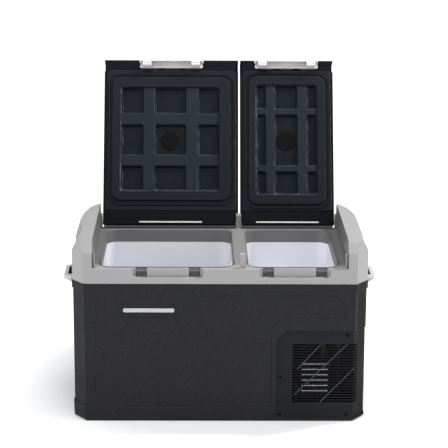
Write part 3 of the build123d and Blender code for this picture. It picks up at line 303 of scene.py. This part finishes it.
# ------------------------------------------------------------------ moulded plastic
def plastic_tone(net, base, grain, speck, tone, mottle):
    """Broad drift, fine specks and, with mottle, blots of two sizes."""
    drift = net.noise(scale=4.5, rough=0.5)
    fine = net.noise(scale=grain * 0.8, detail=1.0, rough=0.5)
    broad_tone = net.vary(drift, shade(base, 1 - tone), shade(base, 1 + tone))
    fine_tone = net.vary(fine, shade(base, 1 - speck), shade(base, 1 + speck),
                         span=(0.35, 0.65))
    colour = net.mix(0.5, broad_tone, fine_tone)
    if mottle:
        blots = net.weigh(net.noise(scale=330.0, rough=0.75), 0.6,
                          net.noise(scale=95.0, detail=2.0, rough=0.6), 0.4)
        factor = net.vary(blots, (1 - mottle,) * 3, (1 + mottle,) * 3, span=(0.36, 0.64))
        colour = net.mix(1.0, colour, factor, "MULTIPLY")
    return colour


def paint_hollow_shade(net, colour, reach, darkest):
    # painted shade: darker where the surface is hidden, in hollows and corners
    hidden = net.node("ShaderNodeAmbientOcclusion", {"Distance": reach}, samples=6)
    level = net.ramp(hidden.outputs["AO"], span=(0.35, 0.95), to=(darkest, 1.0))
    grey = net.node("ShaderNodeCombineColor", dict.fromkeys(("Red", "Green", "Blue"), level))
    return net.mix(1.0, colour, grey.outputs["Color"], "MULTIPLY")


def rim_light(net, normal, rim):
    """Masks for painted highlight on normals turned to the right or along rim, and for
    painted shade on those turned away.
    """
    sideways = net.axes(normal)[0]
    rise = net.dot(normal, rim)
    towards, away = (0.08, 0.40), (-0.08, -0.45)
    lit = net.math("MAXIMUM", net.ramp(sideways, towards),
                   net.ramp(rise, towards, to=(0.0, 0.5)))
    gloom = net.math("MAXIMUM", net.ramp(sideways, away, to=(0.0, 0.8)),
                     net.ramp(rise, away))
    return lit, gloom


def moulded(name, base, rough, wear_and_highlight, wear_and_highlight_tint, grain=900.0, depth=0.00012, speck=0.10,
            edge=0.0009, spec=0.5, tone=0.07, coat=0.0, patchy=1.0, mottle=0.0,
            hollow_shade_reach=0.0, hollow_shade_darkest=1.0, paint=None, rim=None, rim_shade=1.0):
    """Injection-moulded plastic: spark-eroded grain, soft tone drift, edges tinted lighter as
    rubbed wear and painted highlight, with optional painted shade in hollows and on edges
    turned away.
    """
    net = Net(name)
    height = net.weigh(net.noise(scale=grain, detail=2.0, rough=0.6), 0.65,
                       net.voronoi(scale=grain * 0.62, feature="SMOOTH_F1"), 0.5)
    colour = plastic_tone(net, base, grain, speck, tone, mottle)
    if hollow_shade_reach:
        colour = paint_hollow_shade(net, colour, hollow_shade_reach, hollow_shade_darkest)
    if paint:
        colour = paint(net, colour, base)
    normal, mask = net.edges(edge)
    broken = net.ramp(net.noise(scale=55.0, rough=0.65), span=(0.42, 0.66), to=(0.15, 1.0))
    worn_and_lit = net.times(mask, broken, wear_and_highlight, clamp=True)
    if rim:
        # painted highlight on edges facing the light, painted shade that goes black on the
        # ones turned away
        lit, gloom = rim_light(net, normal, rim)
        painted_shade = net.times(net.times(mask, gloom, clamp=True), rim_shade)
        colour = net.mix(painted_shade, colour, shade(base, 0.10))
        worn_and_lit = net.times(worn_and_lit, lit, clamp=True)
    scuff = net.noise(scale=16.0, detail=4.0, rough=0.7, distortion=0.4)
    scuffed = net.ramp(scuff, span=(0.3, 0.72),
                       to=(rough - 0.06 * patchy, rough + 0.08 * patchy))
    polish = 0.16       # roughness lost where worn
    inputs = {
        "Base Color": net.mix(worn_and_lit, colour, wear_and_highlight_tint),
        "Roughness": net.math("SUBTRACT", scuffed, net.times(worn_and_lit, polish), clamp=True),
        "Specular IOR Level": spec,
        "Normal": net.bump(height, depth, normal=normal)}
    if coat:
        inputs.update({"Coat Weight": coat, "Coat Roughness": 0.12})
    return net.finish(inputs)


# ------------------------------------------------------------------ other materials
def metal(name, base, rough, along=(1, 1, 1), scale=260.0, depth=0.00005, dirt=0.25):
    """Drawn, rolled or cast metal with directional lines and dull patches."""
    net = Net(name)
    lines = net.noise(scale, rough=0.6, stretch=along)
    patch = net.noise(scale=22.0, detail=4.0, rough=0.6)
    colour = net.vary(lines, shade(base, 0.88), shade(base, 1.08))
    colour = net.mix(net.times(net.ramp(patch, span=(0.45, 0.7)), dirt), colour,
                     shade(base, 0.55))
    normal, mask = net.edges(radius=0.0004)
    edge_shine = 0.4
    return net.finish({
        "Base Color": net.mix(net.times(mask, edge_shine), colour, shade(base, 1.3)),
        "Metallic": 1.0,
        "Roughness": net.ramp(net.weigh(lines, 0.6, patch, 0.4), MIDDLE,
                              to=(rough - 0.08, rough + 0.1)),
        "Normal": net.bump(lines, depth, normal=normal)})


def fin_tips(name):
    """Block painted black as shade behind fin edges of bright metal."""
    net = Net(name)
    tip = net.ramp(net.axes()[1], span=(-0.1992, -0.2000))
    lines = net.noise(scale=300.0, rough=0.6, stretch=(1, 12, 12))
    painted_shade = net.mix(lines, (0.006, 0.006, 0.007), (0.012, 0.012, 0.013))
    bright = net.mix(lines, (0.70, 0.71, 0.72), (0.95, 0.95, 0.96))
    tip_metallic = 0.4
    return net.finish({
        "Base Color": net.mix(tip, painted_shade, bright),
        "Metallic": net.times(tip, tip_metallic),
        "Roughness": net.ramp(lines, MIDDLE, to=(0.42, 0.58)),
        "Specular IOR Level": 0.2,
        "Normal": net.bump(lines, distance=0.00005, strength=0.8)})


def rubber(name, base, rough=0.72, dust=0.25):
    """Dull rubber with a pale dusty bloom."""
    net = Net(name)
    grain = net.noise(scale=700.0, detail=2.0)
    bloom = net.noise(scale=30.0, detail=4.0, rough=0.65)
    dusty = net.times(net.ramp(bloom, span=(0.45, 0.75)), dust)
    return net.finish({
        "Base Color": net.mix(dusty, base, shade(base, 3.0)),
        "Roughness": net.ramp(bloom, MIDDLE, to=(rough - 0.08, rough + 0.1)),
        "Specular IOR Level": 0.35,
        "Normal": net.bump(grain, distance=0.00008, strength=0.8,
                           normal=net.rounded(radius=0.0006))})


def foam_block(name, base):
    """Foam with open cells, painted black as shade on the walls of the machine bay."""
    net = Net(name)
    cells = net.voronoi(scale=520.0)
    broad = net.noise(scale=18.0, detail=4.0, rough=0.6)
    colour = net.vary(broad, shade(base, 0.85), base, span=(0.35, 0.7))
    colour = net.mix(net.ramp(cells, CELLS, to=(0.35, 0.0)), colour, shade(base, 0.6))
    # the walls of the machine bay are painted black, as painted shade
    x, _, z = net.axes()
    painted_bay_shade = net.times(net.ramp(x, span=(0.1180, 0.1185)), net.fade(z, span=(0.2130, 0.2135)))
    black = net.vary(cells, (0.004, 0.004, 0.005), (0.008, 0.008, 0.009), span=CELLS)
    return net.finish({
        "Base Color": net.mix(painted_bay_shade, colour, black),
        "Roughness": 0.9,
        "Normal": net.bump(cells, distance=0.0006)})


def board(name):
    """Green circuit board with raised tracks."""
    net = Net(name)
    tracks = net.node("ShaderNodeTexBrick", {
        "Vector": net.coord, "Scale": 260.0, "Color1": (0.02, 0.16, 0.06),
        "Color2": (0.03, 0.20, 0.08), "Mortar": (0.10, 0.32, 0.14)})
    stain = net.ramp(net.noise(scale=300.0), span=(0.4, 0.6), to=(0.0, 0.5))
    return net.finish({
        "Base Color": net.mix(stain, tracks.outputs["Color"], (0.015, 0.11, 0.05)),
        "Roughness": net.ramp(net.noise(scale=60.0), MIDDLE, to=(0.22, 0.4)),
        "Normal": net.bump(tracks.outputs["Fac"], distance=0.0001, strength=0.5)})


def smoked(name):
    """Dark glossy glass."""
    net = Net(name)
    return net.finish({
        "Base Color": net.vary(net.noise(scale=40.0), (0.006, 0.008, 0.012),
                               (0.012, 0.014, 0.02)),
        "Roughness": net.ramp(net.noise(scale=90.0), MIDDLE, to=(0.05, 0.14)),
        "Coat Weight": 0.6,
        "Normal": net.bump(net.noise(scale=25.0), distance=0.00002, strength=0.3)})


def frosted(name):
    """White lens with a pebbled surface."""
    net = Net(name)
    return net.finish({
        "Base Color": net.vary(net.voronoi(scale=420.0), (0.86, 0.86, 0.83),
                               (0.93, 0.93, 0.92), span=CELLS),
        "Roughness": net.ramp(net.noise(scale=200.0), MIDDLE, to=(0.3, 0.48)),
        "Subsurface Weight": 0.25,
        "Subsurface Radius": (0.004, 0.004, 0.004),
        "Normal": net.bump(net.voronoi(scale=420.0), distance=0.00012, strength=0.8)})


# ------------------------------------------------------------------ material table
# Each material's name, the function that makes it and that function's settings
RECIPES = {
    "body_plastic": (moulded, dict(
        base=(0.0138, 0.0141, 0.0172), rough=0.60, grain=620.0, depth=0.00032, speck=0.36,
        wear_and_highlight=0.62, wear_and_highlight_tint=(0.105, 0.107, 0.115), edge=0.0018, spec=0.12, mottle=0.22,
        paint=bay_shade_paint, rim=(0.0, 0.0, 1.0), rim_shade=0.30)),
    "vent_plastic": (moulded, dict(
        base=(0.0086, 0.0090, 0.0112), rough=0.58, grain=760.0, depth=0.00018, speck=0.22,
        wear_and_highlight=0.75, wear_and_highlight_tint=(0.060, 0.061, 0.066), edge=0.0007, spec=0.12, mottle=0.15,
        paint=vent_paint)),
    "collar_plastic": (moulded, dict(
        base=(0.242, 0.241, 0.239), rough=0.45, grain=980.0, depth=0.00009, speck=0.06,
        wear_and_highlight=0.28, wear_and_highlight_tint=(0.42, 0.42, 0.415), edge=0.0016, tone=0.03, spec=0.32,
        paint=collar_paint)),
    "latch_plastic": (moulded, dict(
        base=(0.420, 0.418, 0.420), rough=0.42, grain=980.0, depth=0.00008, speck=0.05,
        wear_and_highlight=0.35, wear_and_highlight_tint=(0.44, 0.44, 0.435), tone=0.03, spec=0.35)),
    "lid_plastic": (moulded, dict(
        base=(0.0042, 0.0049, 0.0066), rough=0.38, grain=640.0, speck=0.28, wear_and_highlight=0.55,
        wear_and_highlight_tint=(0.045, 0.050, 0.062), edge=0.0016, spec=0.03, patchy=0.4, rim=LID_UP)),
    "lid_liner_plastic": (moulded, dict(
        base=(0.0118, 0.0144, 0.0187), rough=0.36, grain=820.0, depth=0.00004, speck=0.12,
        wear_and_highlight=1.0, wear_and_highlight_tint=(0.230, 0.252, 0.295), edge=0.0020, tone=0.06, spec=0.045,
        patchy=0.12, hollow_shade_reach=0.020, hollow_shade_darkest=0.15, paint=lid_pocket_shade,
        rim=LID_UP)),
    "liner_plastic": (moulded, dict(
        base=(0.612, 0.620, 0.665), rough=0.34, grain=500.0, depth=0.00003, speck=0.015,
        wear_and_highlight=0.10, wear_and_highlight_tint=(0.82, 0.83, 0.88), edge=0.0018, tone=0.015, coat=0.08,
        patchy=0.25)),
    "fan_plastic": (moulded, dict(
        base=(0.004, 0.004, 0.005), rough=0.5, wear_and_highlight=0.2, wear_and_highlight_tint=(0.02, 0.02, 0.022),
        spec=0.1)),
    "socket_plastic": (moulded, dict(
        base=(0.016, 0.016, 0.018), rough=0.45, wear_and_highlight=0.25, wear_and_highlight_tint=(0.06, 0.06, 0.065))),
    "sensor_plastic": (moulded, dict(
        base=(0.72, 0.72, 0.70), rough=0.38, speck=0.03, wear_and_highlight=0.1,
        wear_and_highlight_tint=(0.85, 0.85, 0.84), tone=0.02)),
    "panel_gloss": (moulded, dict(
        base=(0.010, 0.010, 0.012), rough=0.16, grain=1400.0, depth=0.00001, speck=0.05,
        wear_and_highlight=0.3, wear_and_highlight_tint=(0.06, 0.06, 0.06), edge=0.0005, coat=0.5)),
    "button_rubber": (rubber, dict(base=(0.035, 0.035, 0.038), rough=0.62)),
    "gasket_rubber": (moulded, dict(
        base=(0.0060, 0.0070, 0.0090), rough=0.60, grain=700.0, depth=0.00008, speck=0.2,
        wear_and_highlight=0.8, wear_and_highlight_tint=(0.050, 0.056, 0.068), edge=0.0012, spec=0.04, rim=LID_UP)),
    "foot_rubber": (rubber, dict(base=(0.016, 0.016, 0.016))),
    "grip_rubber": (rubber, dict(base=(0.008, 0.008, 0.009), rough=0.7, dust=0.1)),
    "cable": (rubber, dict(base=(0.014, 0.014, 0.015), rough=0.55)),
    "screw_steel": (metal, dict(base=(0.010, 0.010, 0.011), rough=0.50)),
    "pin_steel": (metal, dict(base=(0.60, 0.60, 0.61), rough=0.24, along=(1, 14, 14))),
    "spring_steel": (metal, dict(base=(0.48, 0.48, 0.49), rough=0.28)),
    "badge_metal": (metal, dict(
        base=(0.44, 0.44, 0.45), rough=0.45, along=(1, 1, 30), scale=90.0, dirt=0.05)),
    "compressor_paint": (moulded, dict(
        base=(0.012, 0.012, 0.014), rough=0.30, grain=160.0, wear_and_highlight=0.45,
        wear_and_highlight_tint=(0.12, 0.12, 0.12), coat=0.3)),
    "bracket_steel": (metal, dict(base=(0.50, 0.50, 0.52), rough=0.36)),
    "stator_steel": (metal, dict(
        base=(0.36, 0.33, 0.30), rough=0.45, along=(1, 1, 40), scale=60.0)),
    "rotor_steel": (metal, dict(base=(0.50, 0.50, 0.52), rough=0.32)),
    "pump_iron": (metal, dict(
        base=(0.22, 0.22, 0.23), rough=0.5, scale=180.0, depth=0.0002)),
    "fin_aluminium": (metal, dict(base=(0.006, 0.006, 0.007), rough=0.5, along=(1, 1, 8))),
    "driver_aluminium": (fin_tips, {}),
    "copper": (metal, dict(base=(0.095, 0.045, 0.028), rough=0.46, dirt=0.7)),
    "evaporator_tube": (metal, dict(base=(0.72, 0.72, 0.73), rough=0.34)),
    "foam": (foam_block, dict(base=(0.80, 0.72, 0.48))),
    "circuit_board": (board, {}),
    "display_glass": (smoked, {}),
    "lamp_lens": (frosted, {}),
    "bung_plastic": (moulded, dict(
        base=(0.0018, 0.0022, 0.0031), rough=0.45, grain=260.0, depth=0.00025, speck=0.5,
        wear_and_highlight=0.9, wear_and_highlight_tint=(0.05, 0.055, 0.065), edge=0.0012, spec=0.05, mottle=0.5)),
}
MATERIALS = {name: make(name, **settings) for name, (make, settings) in RECIPES.items()}

# The lid plugs have a plastic of their own, in place of their slot's
SLOTS.update(lid_left_plug="bung_plastic", lid_right_plug="bung_plastic")

for name, obj in nodes.items():
    material = MATERIALS[SLOTS[name]]
    if obj.material_slots:
        for slot in obj.material_slots:
            slot.material = material
    else:
        obj.data.materials.append(material)


# ------------------------------------------------------------------ floor
def floor_paper():
    """White paper that glows away from the object, so it fades out with no horizon."""
    net = Net("floor_paper")
    place = net.node("ShaderNodeNewGeometry").outputs["Position"]
    distance = net.node("ShaderNodeVectorMath", {0: place}, operation="LENGTH")
    return net.finish({
        "Base Color": net.vary(net.noise(scale=2.0), (0.60, 0.60, 0.605),
                               (0.62, 0.62, 0.625)),
        "Roughness": 0.7,
        "Normal": net.bump(net.noise(scale=900.0), distance=0.00005, strength=0.4),
        "Emission Color": (1, 1, 1),
        "Emission Strength": net.ramp(distance.outputs["Value"], span=(0.30, 1.00),
                                      to=(0.09, 0.92))})


bpy.ops.mesh.primitive_grid_add(x_subdivisions=40, y_subdivisions=40, size=24.0,
                                location=(0, 6.0, 0))
floor = bpy.context.object
floor.name = "floor"
floor.data.materials.append(floor_paper())

# ------------------------------------------------------------------ world
scene = bpy.context.scene
scene.view_settings.view_transform = "Standard"
world = bpy.data.worlds.new("studio")
scene.world = world
world.use_nodes = True
sky = world.node_tree


def background(node, colour, strength):
    node.inputs["Color"].default_value = (*colour, 1)
    node.inputs["Strength"].default_value = strength
    return node.outputs[0]


def switch(ray, normal, special):
    """Show special to one kind of ray and normal to the rest."""
    mixer = sky.nodes.new("ShaderNodeMixShader")
    for index, output in enumerate((rays.outputs[ray], normal, special)):
        sky.links.new(output, mixer.inputs[index])
    return mixer.outputs[0]


room = background(sky.nodes["Background"], colour=(0.96, 0.98, 1.0), strength=0.40)
white = background(sky.nodes.new("ShaderNodeBackground"), colour=(1, 1, 1), strength=1.0)
rays = sky.nodes.new("ShaderNodeLightPath")
seen = switch("Is Camera Ray", room, white)
# mirror-like reflections see a darker room, as flags would give in a studio
gloss = background(sky.nodes.new("ShaderNodeBackground"), colour=(0.8, 0.88, 1.0),
                   strength=0.14)
sky.links.new(switch("Is Glossy Ray", seen, gloss),
              sky.nodes["World Output"].inputs["Surface"])

# ------------------------------------------------------------------ lights
# name, place, aim, width, height, watts
SOFTBOXES = (
    ("top", (-0.25, -0.7, 2.9), (0, 0.0, 0.3), 1.5, 1.2, 64),
    ("front", (-0.3, -3.6, 1.9), (0, 0, 0.35), 2.0, 1.4, 24),
    ("right", (2.4, -1.2, 1.2), (0.2, 0, 0.25), 0.7, 1.6, 26),
    ("left", (-2.4, -1.2, 1.2), (-0.2, 0, 0.25), 0.7, 1.6, 28),
    ("edge", (1.35, 0.35, 2.3), (0.1, 0.3, 0.6), 0.25, 0.25, 62),
)
for name, place, aim, width, height, watts in SOFTBOXES:
    light = bpy.data.lights.new(name, "AREA")
    light.shape = "RECTANGLE"
    light.size, light.size_y = width, height
    light.energy = watts
    lamp = bpy.data.objects.new(name, light)
    scene.collection.objects.link(lamp)
    lamp.location = place
    lamp.rotation_euler = (Vector(aim) - Vector(place)).to_track_quat("-Z", "Y").to_euler()

# ------------------------------------------------------------------ camera
EYE = (-0.050187, -4.416695, 1.432900)
PITCH, YAW = math.radians(12.9005), math.radians(0.78818)   # down, and to the right
ROLL = 0.006046             # radians
SENSOR_MM, LENS_MM = 36.0, 153.192857

level_right = Vector((math.cos(YAW), -math.sin(YAW), 0))
level_ahead = Vector((math.sin(YAW), math.cos(YAW), 0))
ahead = math.cos(PITCH) * level_ahead - math.sin(PITCH) * Vector((0, 0, 1))
level_up = math.sin(PITCH) * level_ahead + math.cos(PITCH) * Vector((0, 0, 1))
right = math.cos(ROLL) * level_right + math.sin(ROLL) * level_up
up = math.cos(ROLL) * level_up - math.sin(ROLL) * level_right

lens = bpy.data.cameras.new("camera")
lens.sensor_width = SENSOR_MM
lens.lens = LENS_MM
lens.clip_end = 60
camera = bpy.data.objects.new("camera", lens)
scene.collection.objects.link(camera)
pose = Matrix((right, up, -ahead)).transposed().to_4x4()
pose.translation = Vector(EYE)
camera.matrix_world = pose
scene.camera = camera

bpy.context.view_layer.update()
